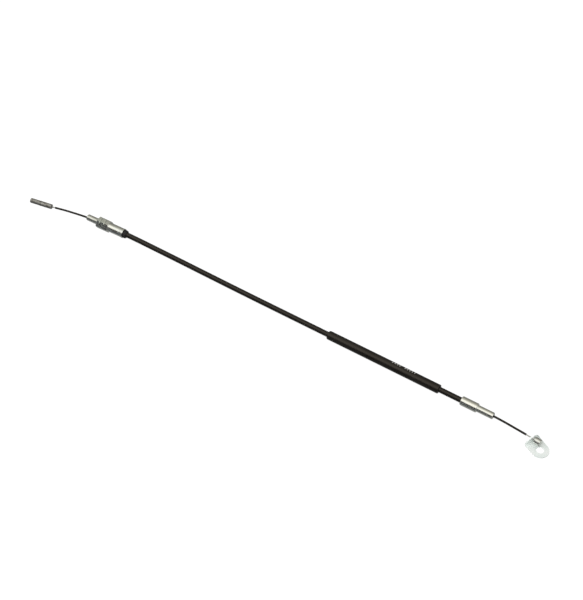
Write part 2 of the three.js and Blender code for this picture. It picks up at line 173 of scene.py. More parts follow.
tent_tree.links.new(tent_turn.outputs[0], tent_half_turn.inputs[0])
tent_ramp = tent_tree.nodes.new("ShaderNodeValToRGB")
tent_tree.links.new(tent_half_turn.outputs[0], tent_ramp.inputs[0])
tent_panels = [
    (3, (0.055, 0.055, 0.056)),
    (35, (0.055, 0.055, 0.056)),
    (42, (1.0, 0.99, 0.94)),
    (78, (1.0, 0.99, 0.94)),
    (96, (0.62, 0.615, 0.56)),
    (110, (0.42, 0.415, 0.37)),
    (128, (0.34, 0.335, 0.30)),
    (140, (0.22, 0.215, 0.19)),
    (175, (0.16, 0.16, 0.15)),
]
for number, (panel_angle, panel_colour) in enumerate(tent_panels):
    if number < 2:
        stop = tent_ramp.color_ramp.elements[number]
        stop.position = panel_angle / 180
    else:
        stop = tent_ramp.color_ramp.elements.new(panel_angle / 180)
    stop.color = (*panel_colour, 1)
tent_glow = tent_tree.nodes.new("ShaderNodeEmission")
tent_glow.inputs["Strength"].default_value = 1.35
tent_tree.links.new(tent_ramp.outputs["Color"], tent_glow.inputs["Color"])
tent_tree.links.new(tent_glow.outputs[0], tent_tree.nodes["Material Output"].inputs["Surface"])

# Cards of painted shade, seen only in reflections: the dark one paints a dark band low on the metal, the
# grey one paints the floor's shadow under and behind the cable.
card_half_length = 0.4
card_height = 0.0003
for card_name, card_front, card_back, card_painted_shade in (
    ("painted_shade_dark_card", -0.16, -0.004, (0.10, 0.11, 0.12)),
    ("painted_shade_grey_card", -0.004, 0.5, (0.34, 0.345, 0.34)),
):
    card_mesh = bpy.data.meshes.new(card_name)
    card_mesh.from_pydata([
        (-card_half_length, card_front, card_height),
        (card_half_length, card_front, card_height),
        (card_half_length, card_back, card_height),
        (-card_half_length, card_back, card_height),
    ], [], [(0, 1, 2, 3)])
    card = bpy.data.objects.new(card_name, card_mesh)
    bpy.context.scene.collection.objects.link(card)
    card.visible_camera = False
    card.visible_diffuse = False
    card.visible_transmission = False
    card.visible_shadow = False
    card_shade_material = bpy.data.materials.new(card_name)
    card_shade_material.use_nodes = True
    card_mesh.materials.append(card_shade_material)
    card_tree = card_shade_material.node_tree
    card_tree.nodes.remove(card_tree.nodes["Principled BSDF"])
    card_shade_glow = card_tree.nodes.new("ShaderNodeEmission")
    card_shade_glow.inputs["Color"].default_value = (*card_painted_shade, 1)
    card_tree.links.new(card_shade_glow.outputs[0], card_tree.nodes["Material Output"].inputs["Surface"])

lamp_settings = bpy.data.lights.new("soft_lamp", "AREA")
lamp_settings.shape = "RECTANGLE"
lamp_settings.size = 2
lamp_settings.size_y = 1
lamp_settings.energy = 17
lamp = bpy.data.objects.new("soft_lamp", lamp_settings)
bpy.context.scene.collection.objects.link(lamp)
lamp.location = (-0.2, -0.8, 1.4)
lamp.rotation_mode = "QUATERNION"
lamp.rotation_quaternion = lamp.location.to_track_quat("Z", "Y")
lamp.visible_glossy = False
lamp.visible_camera = False


# The conduit is a close-wound steel coil with a slippery liner inside and a black vinyl cover
# extruded over it. The coil's turns show faintly through the cover as a fine screw-like ridge.
MM = 0.001
FERRULE_START_X = 393.1
ferrule_low, ferrule_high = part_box("rear_ferrule")
cable_start = np.array((
    ferrule_low.x - FERRULE_START_X * MM,
    (ferrule_low.y + ferrule_high.y) / 2,
    0,
))


def in_frame(point):
    """A point of the cable, in mm from the adjuster's mouth, as a point of the frame in metres."""
    return cable_start + np.array(point, float) * MM


def smooth_line(points, spacing):
    """A smooth line through points, given by places about one spacing apart."""
    points = [np.array(p, float) for p in points]
    points = [2 * points[0] - points[1], *points, 2 * points[-1] - points[-2]]
    fine = []
    for p0, p1, p2, p3 in zip(points, points[1:], points[2:], points[3:]):
        d0, d1, d2 = (np.linalg.norm(b - a) ** 0.5 for a, b in ((p0, p1), (p1, p2), (p2, p3)))
        leave = ((p1 - p0) / d0 - (p2 - p0) / (d0 + d1) + (p2 - p1) / d1) * d1
        reach = ((p2 - p1) / d1 - (p3 - p1) / (d1 + d2) + (p3 - p2) / d2) * d1
        for t in np.linspace(0, 1, 60, endpoint=False):
            fine.append(
                (2 * t**3 - 3 * t**2 + 1) * p1
                + (t**3 - 2 * t**2 + t) * leave
                + (3 * t**2 - 2 * t**3) * p2
                + (t**3 - t**2) * reach
            )
    fine.append(points[-2])
    fine = np.array(fine)
    travelled = np.append(0, np.cumsum(np.linalg.norm(np.diff(fine, axis=0), axis=1)))
    marks = np.linspace(0, travelled[-1], round(travelled[-1] / spacing) + 1)
    return np.stack([np.interp(marks, travelled, fine[:, axis]) for axis in range(3)], axis=1)


def ring(centre, direction, radii, sides):
    """Points round a centre, the first at the front and the next ones above it."""
    front = np.cross(direction, (0, 0, 1))
    front = front / np.linalg.norm(front)
    above = np.cross(front, direction)
    turn = 2 * math.pi * np.arange(sides) / sides
    spokes = np.outer(np.cos(turn), front) + np.outer(np.sin(turn), above)
    return np.array(centre) + spokes * np.broadcast_to(radii, sides)[:, None]


def rings_along(line, radius, sides):
    """Rings along a line; radius gives the radii from the way travelled and the angles round."""
    directions = np.gradient(line, axis=0)
    directions = directions / np.linalg.norm(directions, axis=1)[:, None]
    travelled = np.append(0, np.cumsum(np.linalg.norm(np.diff(line, axis=0), axis=1)))
    turn = 2 * math.pi * np.arange(sides) / sides
    return [
        ring(centre, direction, radius(way, turn), sides)
        for centre, direction, way in zip(line, directions, travelled)
    ]


def skin(name, rings, looped, sharp_angle=32):
    """A closed mesh over rings; looped joins the last ring to the first, as round a tube's wall."""
    sides = len(rings[0])
    corners = [in_frame(point) for each in rings for point in each]
    faces = []
    for i in range(len(rings) if looped else len(rings) - 1):
        here = i * sides
        after = (i + 1) % len(rings) * sides
        for j in range(sides):
            k = (j + 1) % sides
            faces.append((here + j, here + k, after + k, after + j))
    if not looped:
        faces.append(tuple(range(sides)))
        faces.append(tuple(range(len(corners) - sides, len(corners))))
    return solid(name, corners, faces, sharp_angle)


def solid(name, corners, faces, sharp_angle):
    """An object from corners and faces, its normals outwards and its true edges kept sharp."""
    mesh = bpy.data.meshes.new(name)
    mesh.from_pydata([tuple(c) for c in corners], [], faces)
    work = bmesh.new()
    work.from_mesh(mesh)
    bmesh.ops.remove_doubles(work, verts=work.verts, dist=1e-6)
    bmesh.ops.recalc_face_normals(work, faces=work.faces)
    work.to_mesh(mesh)
    work.free()
    mesh.shade_smooth()
    mesh.set_sharp_from_angle(angle=math.radians(sharp_angle))
    piece = bpy.data.objects.new(name, mesh)
    bpy.context.scene.collection.objects.link(piece)
    piece.modifiers.new("even_shading", "WEIGHTED_NORMAL").keep_sharp = True
    return piece


def new_finish(name, sockets):
    """A material with its plain values set, its node tree and its shader."""
    made = bpy.data.materials.new(name)
    made.use_nodes = True
    shader = made.node_tree.nodes["Principled BSDF"]
    for socket, value in sockets.items():
        shader.inputs[socket].default_value = value
    return made, made.node_tree, shader


def speckle(tree, size, stretch=(1, 1, 1), detail=3):
    """Noise whose patches are about size mm across, drawn out where stretch is below 1."""
    place = tree.nodes.new("ShaderNodeTexCoord")
    scale = tree.nodes.new("ShaderNodeMapping")
    scale.inputs["Scale"].default_value = [s / MM for s in stretch]
    tree.links.new(place.outputs["Object"], scale.inputs["Vector"])
    noise = tree.nodes.new("ShaderNodeTexNoise")
    noise.inputs["Scale"].default_value = 1 / size
    noise.inputs["Detail"].default_value = detail
    tree.links.new(scale.outputs["Vector"], noise.inputs["Vector"])
    return noise.outputs["Fac"]


def shades(tree, source, stops):
    """Colours along a value, from (place, colour) pairs."""
    ramp = tree.nodes.new("ShaderNodeValToRGB")
    for number, (place, colour) in enumerate(stops):
        if number < 2:
            stop = ramp.color_ramp.elements[number]
            stop.position = place
        else:
            stop = ramp.color_ramp.elements.new(place)
        stop.color = (*colour, 1)
    tree.links.new(source, ramp.inputs["Fac"])
    return ramp.outputs["Color"]


def spread(tree, source, low, high):
    """A value from 0.3 to 0.7 spread from low to high."""
    span = tree.nodes.new("ShaderNodeMapRange")
    span.inputs["From Min"].default_value = 0.3
    span.inputs["From Max"].default_value = 0.7
    span.inputs["To Min"].default_value = low
    span.inputs["To Max"].default_value = high
    tree.links.new(source, span.inputs["Value"])
    return span.outputs["Result"]


def relief(tree, shader, source, depth, below=None):
    """Fine unevenness of the surface, depth mm high, on top of any relief below it."""
    bump = tree.nodes.new("ShaderNodeBump")
    bump.inputs["Distance"].default_value = depth * MM
    tree.links.new(source, bump.inputs["Height"])
    if below is not None:
        tree.links.new(below, bump.inputs["Normal"])
    tree.links.new(bump.outputs["Normal"], shader.inputs["Normal"])
    return bump.outputs["Normal"]


def vinyl(name, dark, light, dull, fine_grain):
    """Extruded black vinyl: nearly even in colour, with scuffs that are duller and a fine grain."""
    made, tree, shader = new_finish(name, {
        "Specular IOR Level": 0.42,
        "Specular Tint": (1, 0.88, 0.76, 1),
        "IOR": 1.5,
    })
    blotch = speckle(tree, 5, (0.3, 1, 1))
    tree.links.new(shades(tree, blotch, [(0.35, dark), (0.65, light)]), shader.inputs["Base Color"])
    scuff = speckle(tree, 1.6, (0.4, 1, 1), 5)
    tree.links.new(spread(tree, scuff, *dull), shader.inputs["Roughness"])
    grain = speckle(tree, fine_grain, (1, 1, 1), 4)
    relief(tree, shader, grain, 0.008)
    return made


def dress(piece, material, body, slot, *nodes):
    """Gives a piece its material and its place in the model."""
    piece.data.materials.append(material)
    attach(piece, body)
    if nodes:
        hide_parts(*nodes)


CONDUIT_RADIUS = 2.45
JACKET_BORE_RADIUS = 1.92
CONDUIT_HEIGHT = 4
ADJUSTER_HEIGHT = 5
ADJUSTER_YAW = math.radians(1.9)
ADJUSTER_BEND_X = 50
CONDUIT_START_X = 29.9
CONDUIT_END_X = 404.8
BODY_END_X = 41.6
SEAL_END_X = 45.1


def adjuster_axis_point(x):
    return (x, (x - ADJUSTER_BEND_X) * math.tan(ADJUSTER_YAW), ADJUSTER_HEIGHT)


def conduit_point(x, rise):
    return (x, 0, CONDUIT_HEIGHT + rise * (ADJUSTER_HEIGHT - CONDUIT_HEIGHT))


ease_down = [
    conduit_point(58, 1),
    conduit_point(75, 0.97),
    conduit_point(100, 0.82),
    conduit_point(130, 0.5),
    conduit_point(160, 0.18),
    conduit_point(185, 0.03),
    conduit_point(205, 0),
    conduit_point(FERRULE_START_X - 133, 0),
    conduit_point(FERRULE_START_X - 63, 0),
    conduit_point(FERRULE_START_X - 13, 0),
]
conduit_line = smooth_line([
    adjuster_axis_point(CONDUIT_START_X),
    adjuster_axis_point(CONDUIT_START_X + 6),
    adjuster_axis_point(BODY_END_X),
    adjuster_axis_point(SEAL_END_X + 1),
    *ease_down,
    conduit_point(CONDUIT_END_X, 0),
], 0.4)
COIL_PITCH = 1.6
RIDGE_HEIGHT = 0.035


def ridged(way, turn):
    wave = np.cos(2 * math.pi * way / COIL_PITCH - turn)
    return CONDUIT_RADIUS - RIDGE_HEIGHT + RIDGE_HEIGHT * wave


def even_bore(way, turn):
    return JACKET_BORE_RADIUS


cover_sides = 28
cover_outside = rings_along(conduit_line, ridged, cover_sides)
cover_inside = rings_along(conduit_line[::4], even_bore, cover_sides)
conduit_cover = skin("conduit_cover", cover_outside + cover_inside[::-1], True)
conduit_dark = (0.0038, 0.0034, 0.0031)
conduit_light = (0.008, 0.0072, 0.0066)
conduit_vinyl = vinyl("conduit_vinyl", conduit_dark, conduit_light, (0.26, 0.36), 0.35)
dress(conduit_cover, conduit_vinyl, "conduit", "conduit_black", "conduit_jacket")

coil_steel, coil_tree, coil_shader = new_finish("coil_steel", {"Metallic": 1.0})
coil_tone = speckle(coil_tree, 1.2, (2, 0.2, 0.2))
coil_tree.links.new(
    shades(coil_tree, coil_tone, [(0.35, (0.20, 0.20, 0.21)), (0.65, (0.42, 0.42, 0.42))]),
    coil_shader.inputs["Base Color"],
)
coil_tree.links.new(spread(coil_tree, coil_tone, 0.3, 0.5), coil_shader.inputs["Roughness"])
relief(coil_tree, coil_shader, coil_tone, 0.2)
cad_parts["conduit_coil"].data.materials.clear()
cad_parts["conduit_coil"].data.materials.append(coil_steel)

liner_plastic, liner_tree, liner_shader = new_finish("liner_plastic", {"Specular IOR Level": 0.4})
liner_tone = speckle(liner_tree, 3, (0.3, 1, 1))
liner_tree.links.new(
    shades(liner_tree, liner_tone, [(0.35, (0.70, 0.68, 0.60)), (0.65, (0.80, 0.78, 0.71))]),
    liner_shader.inputs["Base Color"],
)
liner_tree.links.new(spread(liner_tree, liner_tone, 0.4, 0.55), liner_shader.inputs["Roughness"])
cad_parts["conduit_liner"].data.materials.clear()
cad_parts["conduit_liner"].data.materials.append(liner_plastic)


# The pull wire is a rope of seven thin steel wires. It runs through the whole cable, and its two
# bare ends are crimped into the barrel and pressed into the nipple.
WIRE_RADIUS = 0.55
FERRULE_END_X = 422.9
BARREL_HEIGHT = 2.3
NIPPLE_HEIGHT = 4.4
BARREL_YAW = math.radians(9.9)
WIRE_IN_BARREL = 10
NIPPLE_LENGTH = 5.4
NIPPLE_STANDOFF = 2.0
WIRE_IN_NIPPLE = 3.9


def front_point(past, aside, fall):
    return (-past, -aside, ADJUSTER_HEIGHT + fall * (BARREL_HEIGHT - ADJUSTER_HEIGHT))


def rear_point(past, aside, rise):
    return (FERRULE_END_X + past, -aside, CONDUIT_HEIGHT + rise * (NIPPLE_HEIGHT - CONDUIT_HEIGHT))


barrel_mouth = np.array(front_point(38.9, 7.5, 1))
barrel_axis = np.array((math.cos(BARREL_YAW), math.sin(BARREL_YAW), 0))
ear_place = np.array(rear_point(36.9, 3, 1))
bare_rear_start = np.array(rear_point(30.7, 2.35, 1))
wire_end_axis = (ear_place - bare_rear_start) / np.linalg.norm(ear_place - bare_rear_start)
coat_points = [
    front_point(35.4, 6.8, 0.97),
    front_point(30, 5.75, 0.87),
    front_point(24, 4.75, 0.72),
    front_point(17, 3.85, 0.54),
    front_point(10, 3.1, 0.33),
    front_point(4, 2.5, 0.17),
    front_point(-3, 2, 0.06),
    front_point(-10, 1.5, 0.01),
    adjuster_axis_point(20),
    adjuster_axis_point(CONDUIT_START_X + 6),
    adjuster_axis_point(SEAL_END_X + 1),
    *ease_down,
    rear_point(-18, 0, 0),
    rear_point(-6, 0, 0),
    rear_point(2, 0.12, 0.12),
    rear_point(10, 0.55, 0.33),
    rear_point(20, 1.4, 0.62),
    bare_rear_start,
]
wire_line = smooth_line([
    barrel_mouth - WIRE_IN_BARREL * barrel_axis,
    barrel_mouth - WIRE_IN_BARREL / 2 * barrel_axis,
    barrel_mouth,
    *coat_points,
    ear_place,
    ear_place + (NIPPLE_STANDOFF + WIRE_IN_NIPPLE) * wire_end_axis,
], 0.6)
STRAND_LAY = 7
STRANDS_SEEN = 6
STRAND_GROOVE = 0.11


def stranded(way, turn):
    place = STRANDS_SEEN * (turn - 2 * math.pi * way / STRAND_LAY) / 2
    return WIRE_RADIUS - STRAND_GROOVE * (1 - np.abs(np.cos(place)))


stranded_wire = skin("stranded_wire", rings_along(wire_line, stranded, 24), False, 60)
wire_steel, wire_tree, wire_shader = new_finish("wire_steel", {"Metallic": 1.0})
wire_tone = speckle(wire_tree, 1.5)
wire_tree.links.new(
    shades(wire_tree, wire_tone, [(0.35, (0.52, 0.51, 0.48)), (0.65, (0.74, 0.73, 0.70))]),
    wire_shader.inputs["Base Color"],
)
wire_tree.links.new(spread(wire_tree, wire_tone, 0.25, 0.42), wire_shader.inputs["Roughness"])
dress(stranded_wire, wire_steel, "pull_wire", "wire_steel", "inner_wire")


# A thin black plastic coat is drawn over the wire, so that it slides easily in the liner. It stops
# a few millimetres short of the barrel and of the tab, where the wire is bare.
COAT_RADIUS = 0.93
COAT_BORE_RADIUS = 0.68
COAT_RIPPLE = 0.008
coat_line = smooth_line(coat_points, 0.8)


def coated(way, turn):
    return COAT_RADIUS - COAT_RIPPLE * (1 - np.cos(3 * turn - 2 * math.pi * way / STRAND_LAY))


def coat_bore(way, turn):
    return COAT_BORE_RADIUS


coat_sides = 18
coat_rings = rings_along(coat_line, coated, coat_sides)
coat_rings += rings_along(coat_line[::4], coat_bore, coat_sides)[::-1]
wire_coating = skin("wire_coating", coat_rings, True)
coat_black = vinyl("coat_black", (0.003, 0.0029, 0.0028), (0.006, 0.0057, 0.0054), (0.25, 0.35), 0.5)
dress(wire_coating, coat_black, "pull_wire", "wire_coat_black", "wire_coat")


# The barrel is a plain zinc pin, drilled at its rear end. The wire's front end is pushed in there
# and held by dents, pressed in from above and below.
BARREL_LENGTH = 22.6
BARREL_RADIUS = 2.3
END_BORE_RADIUS = 0.75
CRIMP_PLACES = (7.0, 11.6)
CRIMP_TOOL_RADIUS = 2.2
CRIMP_DEPTH = 0.45
CRIMP_BULGE = 0.16
CRIMP_BULGE_REACH = 1.3
FRONT_END_RINGS = 5
REAR_END_RINGS = 7


def eased(corners, ease, steps=4):
    """A closed section's corners, each taken round a small curve about ease mm long."""
    corners = np.array(corners, float)
    made = []
    for before, here, after in zip(np.roll(corners, 1, 0), corners, np.roll(corners, -1, 0)):
        back = before - here
        onward = after - here
        start = here + back * min(ease / np.linalg.norm(back), 0.45)
        end = here + onward * min(ease / np.linalg.norm(onward), 0.45)
        for t in np.linspace(0, 1, steps + 1):
            made.append((1 - t) ** 2 * start + 2 * t * (1 - t) * here + t**2 * end)
    return made


def stepped(corners, longest):
    """The same closed section with no stretch longer than longest mm."""
    made = []
    for here, after in zip(corners, [*corners[1:], corners[0]]):
        count = max(1, math.ceil(np.linalg.norm(np.array(after) - here) / longest))
        for step in range(count):
            made.append(np.array(here) + (np.array(after) - here) * step / count)
    return made


def turned(start, direction, corners, sides):
    """Rings of a lathe-turned section: (way along the axis, radius) corners from a start point."""
    start = np.array(start, float)
    direction = np.array(direction, float)
    return [ring(start + way * direction, direction, radius, sides) for way, radius in corners]


def pressed(points):
    """The barrel's points with the crimping tool's grooves pressed in above and below."""
    made = np.array(points)
    ways = (made - barrel_mouth) @ -barrel_axis
    heights = made[:, 2] - BARREL_HEIGHT
    outwards = made - barrel_mouth + np.outer(ways, barrel_axis)
    for place in CRIMP_PLACES:
        near = np.clip(np.abs(ways - place), 0, CRIMP_TOOL_RADIUS)
        reach = BARREL_RADIUS + CRIMP_TOOL_RADIUS - CRIMP_DEPTH
        limit = reach - np.sqrt(CRIMP_TOOL_RADIUS**2 - near**2)
        pushed = np.clip(np.abs(heights) - limit, 0, None)
        sideways = outwards.copy()
        sideways[:, 2] = 0
        bulge = CRIMP_BULGE * np.exp(-((ways - place) / CRIMP_BULGE_REACH) ** 2)
        made = made + sideways * (bulge / BARREL_RADIUS)[:, None] * (pushed <= 0)[:, None]
        made[:, 2] -= np.sign(heights) * pushed
        heights = made[:, 2] - BARREL_HEIGHT
    return made


barrel_tip = barrel_mouth - BARREL_LENGTH * barrel_axis
barrel_section = [
    (0, 0),
    (0, BARREL_RADIUS - 0.4),
    (0.14, BARREL_RADIUS - 0.14),
    (0.4, BARREL_RADIUS),
    *[(way, BARREL_RADIUS) for way in np.arange(0.8, BARREL_LENGTH - 0.5, 0.2)],
    (BARREL_LENGTH - 0.4, BARREL_RADIUS),
    (BARREL_LENGTH - 0.14, BARREL_RADIUS - 0.14),
    (BARREL_LENGTH, BARREL_RADIUS - 0.4),
    (BARREL_LENGTH, END_BORE_RADIUS + 0.15),
    (BARREL_LENGTH - 0.15, END_BORE_RADIUS),
    (BARREL_LENGTH - WIRE_IN_BARREL - 0.3, END_BORE_RADIUS),
    (BARREL_LENGTH - WIRE_IN_BARREL - 0.3, 0),
]
barrel_rings = turned(barrel_tip, barrel_axis, barrel_section, 48)
barrel_rings = [
    pressed(each) if FRONT_END_RINGS <= i < len(barrel_rings) - REAR_END_RINGS else each
    for i, each in enumerate(barrel_rings)
]
crimped_barrel = skin("crimped_barrel", barrel_rings, True)
dull_zinc, zinc_tree, zinc_shader = new_finish("dull_zinc", {"Metallic": 0.85})
zinc_tone = speckle(zinc_tree, 2.2, (0.6, 1, 1), 5)
zinc_tree.links.new(
    shades(zinc_tree, zinc_tone, [
        (0.30, (0.11, 0.095, 0.078)),
        (0.48, (0.27, 0.26, 0.235)),
        (0.70, (0.40, 0.40, 0.385)),
    ]),
    zinc_shader.inputs["Base Color"],
)
zinc_wear = speckle(zinc_tree, 0.7, (1, 1, 1), 4)
zinc_tree.links.new(spread(zinc_tree, zinc_wear, 0.34, 0.55), zinc_shader.inputs["Roughness"])
relief(zinc_tree, zinc_shader, zinc_wear, 0.05)
dress(crimped_barrel, dull_zinc, "pull_wire", "crimp_zinc", "crimp_barrel")


# The adjuster is turned from one bar of steel and zinc plated: a threaded tube, a hexagonal
# collar and a plain body whose socket takes the conduit's end.
THREAD_RADIUS = 3
THREAD_PITCH = 1
THREAD_DEPTH = 0.42
THREAD_CREST = 0.15
THREAD_FLANK = 0.65
MOUTH_BORE_RADIUS = 1.5
MOUTH_CHAMFER = 0.6
HEX_APOTHEM = 5
HEX_FACE_RADIUS = 4.9
HEX_CLEAR_RADIUS = 5.874
HEX_BEVEL = 0.6
HEX_BEVEL_STEPS = 8
HEX_SHARPNESS = 90
OUTER_NUT_X = 12.7
OUTER_NUT_THICKNESS = 3.8
INNER_NUT_X = 16.8
INNER_NUT_THICKNESS = 4.4
COLLAR_X = 21.5
COLLAR_THICKNESS = 4.2
BODY_RADIUS = 4.3
BODY_FIRST_RING_X = 26.5
BODY_RIM_LENGTH = 1.5
BODY_RIM_RADIUS = 4.45
SOCKET_RADIUS = 2.5
SOCKET_FLOOR_X = 29.6
adjuster_sides = 72
adjuster_turn = 2 * math.pi * np.arange(adjuster_sides) / adjuster_sides
adjuster_start = np.array(adjuster_axis_point(0))
adjuster_axis = np.array((math.cos(ADJUSTER_YAW), math.sin(ADJUSTER_YAW), 0))


def thread_radii(way):
    """Radii round the tube at one place: a V thread with a flat crest and a flat root."""
    phase = (way / THREAD_PITCH - adjuster_turn / (2 * math.pi)) % 1
    flank = np.clip((np.abs(2 * phase - 1) - THREAD_CREST) / THREAD_FLANK, 0, 1)
    chamfer = THREAD_RADIUS - MOUTH_CHAMFER + way
    return np.minimum(THREAD_RADIUS - THREAD_DEPTH * flank, chamfer)


def hex_radii(limit):
    """Radii round a hexagon with a flat underneath, its corners rounded and turned off at limit."""
    flats = np.radians(np.arange(30, 390, 60))
    reach = np.clip(np.cos(adjuster_turn[:, None] - flats), 0, 1)
    outline = (reach**HEX_SHARPNESS).sum(axis=1) ** (-1 / HEX_SHARPNESS) * HEX_APOTHEM
    return np.minimum(outline, limit)


def hex_corners(start, thickness):
    """A hexagonal nut's outside, from its front face to its rear one."""
    made = []
    for step in range(HEX_BEVEL_STEPS + 1):
        part = step / HEX_BEVEL_STEPS
        limit = HEX_FACE_RADIUS + part * (HEX_CLEAR_RADIUS - HEX_FACE_RADIUS)
        made.append((start + part * HEX_BEVEL, hex_radii(limit)))
    rear = [(2 * start + thickness - way, radii) for way, radii in made]
    middle = [(start + part * thickness, hex_radii(HEX_CLEAR_RADIUS)) for part in (0.3, 0.5, 0.7)]
    return made + middle + rear[::-1]


rim_start = BODY_END_X - BODY_RIM_LENGTH
adjuster_section = [
    (0.15, MOUTH_BORE_RADIUS),
    (0, MOUTH_BORE_RADIUS + 0.15),
    *[(way, thread_radii(way)) for way in np.arange(0, COLLAR_X - 0.3, 0.1)],
    (COLLAR_X - 0.25, THREAD_RADIUS - THREAD_DEPTH),
    (COLLAR_X, THREAD_RADIUS - THREAD_DEPTH),
    (COLLAR_X, HEX_FACE_RADIUS - 0.4),
    *hex_corners(COLLAR_X, COLLAR_THICKNESS),
    (COLLAR_X + COLLAR_THICKNESS, BODY_RADIUS + 0.3),
    (COLLAR_X + COLLAR_THICKNESS + 0.04, BODY_RADIUS + 0.06),
    (COLLAR_X + COLLAR_THICKNESS + 0.2, BODY_RADIUS),
    *[(way, BODY_RADIUS) for way in np.arange(BODY_FIRST_RING_X, rim_start - 0.2, 1)],
    (rim_start - 0.1, BODY_RADIUS),
    (rim_start + 0.05, BODY_RADIUS + 0.05),
    (rim_start + 0.15, BODY_RIM_RADIUS - 0.05),
    (rim_start + 0.3, BODY_RIM_RADIUS),
    (BODY_END_X - 0.35, BODY_RIM_RADIUS),
    (BODY_END_X - 0.1, BODY_RIM_RADIUS - 0.1),
    (BODY_END_X, BODY_RIM_RADIUS - 0.35),
    (BODY_END_X, SOCKET_RADIUS + 0.2),
    (BODY_END_X - 0.2, SOCKET_RADIUS),
    (SOCKET_FLOOR_X, SOCKET_RADIUS),
    (SOCKET_FLOOR_X, MOUTH_BORE_RADIUS),
]
adjuster_rings = turned(adjuster_start, adjuster_axis, adjuster_section, adjuster_sides)
threaded_adjuster = skin("threaded_adjuster", adjuster_rings, True)


def zinc_plate(name, tones, dull, patch):
    """Bright zinc plate over turned steel: fine rings from the lathe and a faint play of colour,
    into which the adjuster's tones also mix a painted brown reflection.
    """
    made, tree, shader = new_finish(name, {"Metallic": 1.0})
    colour = speckle(tree, patch, (0.5, 1, 1), 2)
    tree.links.new(shades(tree, colour, tones), shader.inputs["Base Color"])
    wear = speckle(tree, 0.8, (1, 1, 1), 4)
    tree.links.new(spread(tree, wear, *dull), shader.inputs["Roughness"])
    rings_turned = speckle(tree, 0.22, (1, 0.001, 0.001), 2)
    first = relief(tree, shader, rings_turned, 0.006)
    relief(tree, shader, wear, 0.012, first)
    return made


# The brown stop at the top of this ramp is a painted reflection of warm surroundings; the other stops are
# the plate's own play of colour.
adjuster_zinc_and_painted_reflection = zinc_plate("adjuster_zinc_and_painted_reflection", [
    (0.30, (0.66, 0.68, 0.65)),
    (0.48, (0.76, 0.755, 0.70)),
    (0.62, (0.68, 0.71, 0.69)),
    (0.70, (0.50, 0.38, 0.29)),
], (0.16, 0.30), 6)
dress(threaded_adjuster, adjuster_zinc_and_painted_reflection, "conduit", "plated_steel", "adjuster_body")


# Two plain hexagonal nuts run on the adjuster's thread. They clamp it to a bracket and are
# plated like the adjuster.
NUT_BORE_RADIUS = 3.15
NUT_COUNTERSINK = 0.45
nut_zinc = zinc_plate("nut_zinc", [
    (0.30, (0.64, 0.67, 0.64)),
    (0.50, (0.75, 0.77, 0.71)),
    (0.70, (0.65, 0.70, 0.69)),
], (0.18, 0.32), 4)
for nut_name, nut_body, nut_node, nut_start, nut_thickness in (
    ("outer_hex_nut", "front_nut", "outer_nut", OUTER_NUT_X, OUTER_NUT_THICKNESS),
    ("inner_hex_nut", "back_nut", "inner_nut", INNER_NUT_X, INNER_NUT_THICKNESS),
):
    nut_end = nut_start + nut_thickness
    nut_section = [
        (nut_start + NUT_COUNTERSINK, NUT_BORE_RADIUS),
        (nut_start, NUT_BORE_RADIUS + NUT_COUNTERSINK),
        (nut_start, HEX_FACE_RADIUS - 0.4),
        *hex_corners(nut_start, nut_thickness),
        (nut_end, HEX_FACE_RADIUS - 0.4),
        (nut_end, NUT_BORE_RADIUS + NUT_COUNTERSINK),
        (nut_end - NUT_COUNTERSINK, NUT_BORE_RADIUS),
    ]
    nut_rings = turned(adjuster_start, adjuster_axis, nut_section, adjuster_sides)
    dress(skin(nut_name, nut_rings, True), nut_zinc, nut_body, "plated_nuts", nut_node)


# A short black rubber seal is pushed over the conduit against the adjuster's rear face. It keeps
# water out of the socket and tapers towards the conduit.
SEAL_X = 41.9
SEAL_RADIUS = 3.8
SEAL_TAPER = 1.1
seal_section = stepped(eased([
    (SEAL_X, SOCKET_RADIUS),
    (SEAL_X, SEAL_RADIUS),
    (SEAL_END_X - SEAL_TAPER, SEAL_RADIUS),
    (SEAL_END_X, SOCKET_RADIUS + 0.3),
    (SEAL_END_X, SOCKET_RADIUS),
], 0.3), 0.4)
rubber_seal = skin("rubber_seal", turned(adjuster_start, adjuster_axis, seal_section, 48), True)
seal_rubber, rubber_tree, rubber_shader = new_finish("seal_rubber", {"Specular IOR Level": 0.35})
rubber_tone = speckle(rubber_tree, 1.1)
rubber_tree.links.new(
    shades(rubber_tree, rubber_tone, [(0.35, (0.006, 0.006, 0.006)), (0.65, (0.013, 0.012, 0.012))]),
    rubber_shader.inputs["Base Color"],
)
rubber_tree.links.new(spread(rubber_tree, rubber_tone, 0.5, 0.68), rubber_shader.inputs["Roughness"])
relief(rubber_tree, rubber_shader, speckle(rubber_tree, 0.25), 0.03)
dress(rubber_seal, seal_rubber, "conduit", "seal_rubber", "conduit_seal")


# A length of thicker black vinyl tube is slipped over the conduit near its rear end. It guards
# the conduit where it rubs on the machine, and its ends are slightly rounded.
SLEEVE_START_X = 263.6
SLEEVE_END_X = 372.2
SLEEVE_RADIUS = 3.98
SLEEVE_BORE_RADIUS = 2.5
sleeve_axis = (1, 0, 0)
sleeve_section = stepped(eased([
    (SLEEVE_START_X, SLEEVE_BORE_RADIUS),
    (SLEEVE_START_X, SLEEVE_RADIUS),
    (SLEEVE_END_X, SLEEVE_RADIUS),
    (SLEEVE_END_X, SLEEVE_BORE_RADIUS),
], 0.6, 6), 1.5)
vinyl_sleeve = skin("vinyl_sleeve", turned(conduit_point(0, 0), sleeve_axis, sleeve_section, 48), True)
sleeve_vinyl = vinyl("sleeve_vinyl", (0.0042, 0.0037, 0.0034), (0.0085, 0.0076, 0.007), (0.27, 0.37), 0.6)
dress(vinyl_sleeve, sleeve_vinyl, "conduit", "sleeve_black", "protective_sleeve")


